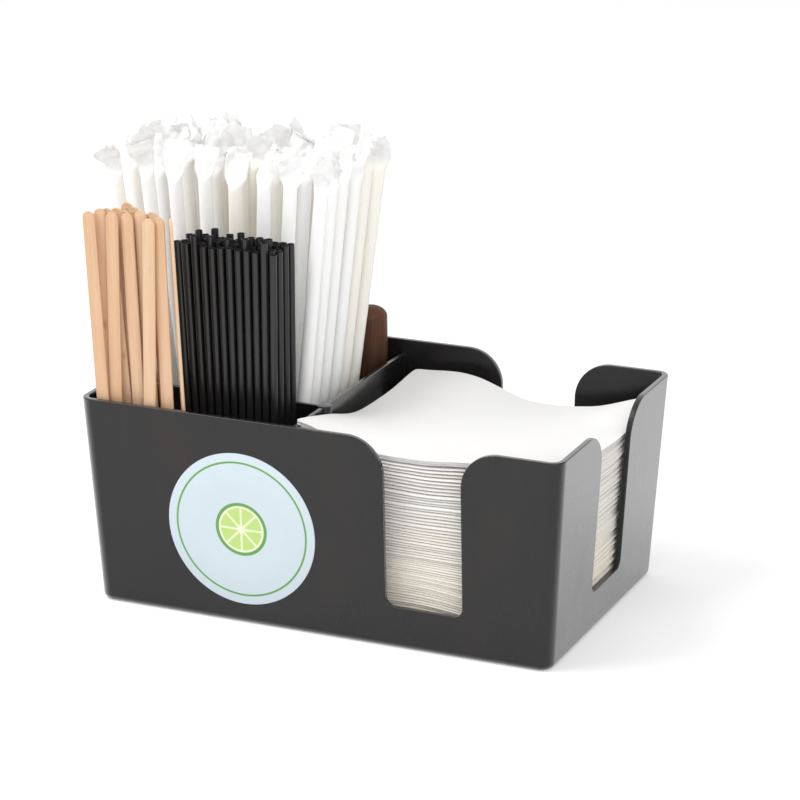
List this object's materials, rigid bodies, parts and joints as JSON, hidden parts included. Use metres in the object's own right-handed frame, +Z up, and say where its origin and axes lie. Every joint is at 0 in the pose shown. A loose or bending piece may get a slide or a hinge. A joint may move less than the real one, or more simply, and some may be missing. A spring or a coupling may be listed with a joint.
{
  "type": "bar caddy",
  "caption": "Open moulded bar caddy with flared walls, finger cut-outs and dividers, holding napkins, stir sticks, short straws, wrapped straws and a muddler.",
  "frame": {"origin": "middle of the tray's underside, on the surface that it stands on", "axes": "+X along the tray's long side towards the napkin bay, -Y to the front wall with the round label, +Z up"},
  "size_m": [0.2554, 0.1521, 0.2155],
  "materials": {
    "moulded_black": "satin to gloss injection-moulded black",
    "label_paper": "matt pale blue-grey sticker",
    "napkin_white": "soft embossed white tissue",
    "napkin_cream": "soft cream-white tissue",
    "birch": "pale untreated birch",
    "straw_black": "glossy black thin-walled tube",
    "wrapper_paper": "thin translucent white paper",
    "dark_wood": "dark brown wood, worn lighter near the top"
  },
  "bodies": {
    "tray_body": {"tray": "moulded_black", "long_divider": "moulded_black", "cross_divider": "moulded_black", "label": "label_paper"},
    "napkin_stack": {"napkins_bottom": "napkin_cream", "napkins_lower": "napkin_cream", "napkins_middle": "napkin_cream", "napkins_upper": "napkin_cream"},
    "top_napkin_body": {"top_napkin": "napkin_white"},
    "stir_sticks": {"stir_stick_01": "birch", "stir_stick_02": "birch", "stir_stick_03": "birch", "stir_stick_04": "birch", "stir_stick_05": "birch", "stir_stick_06": "birch", "stir_stick_07": "birch", "stir_stick_08": "birch", "stir_stick_09": "birch", "stir_stick_10": "birch", "stir_stick_11": "birch", "stir_stick_12": "birch", "stir_stick_13": "birch", "stir_stick_14": "birch"},
    "black_straws": {"black_straws_row_1": "straw_black", "black_straws_row_2": "straw_black", "black_straws_row_3": "straw_black", "black_straws_row_4": "straw_black", "black_straws_row_5": "straw_black", "black_straws_row_6": "straw_black", "black_straws_row_7": "straw_black"},
    "wrapped_straws": {"wrapped_straws_row_1": "wrapper_paper", "wrapped_straws_row_2": "wrapper_paper", "wrapped_straws_row_3": "wrapper_paper", "wrapped_straws_row_4": "wrapper_paper", "wrapped_straws_row_5": "wrapper_paper", "wrapped_straws_row_6": "wrapper_paper"},
    "muddler_body": {"muddler": "dark_wood"}
  },
  "joints": [
    {"name": "napkins_lift", "type": "slide", "parent": "tray_body", "child": "napkin_stack", "axis": [0, 0, 1], "range_m": [0, 0.107]},
    {"name": "top_napkin_lift", "type": "slide", "parent": "napkin_stack", "child": "top_napkin_body", "axis": [0, 0, 1], "range_m": [0, 0.06]},
    {"name": "stir_sticks_lift", "type": "slide", "parent": "tray_body", "child": "stir_sticks", "axis": [0, 0, 1], "range_m": [0, 0.107]},
    {"name": "black_straws_lift", "type": "slide", "parent": "tray_body", "child": "black_straws", "axis": [0, 0, 1], "range_m": [0, 0.107]},
    {"name": "wrapped_straws_lift", "type": "slide", "parent": "tray_body", "child": "wrapped_straws", "axis": [0, 0, 1], "range_m": [0, 0.107]},
    {"name": "muddler_lift", "type": "slide", "parent": "tray_body", "child": "muddler_body", "axis": [-0.0205, 0.0461, 0.9987], "range_m": [0, 0.107]}
  ]
}
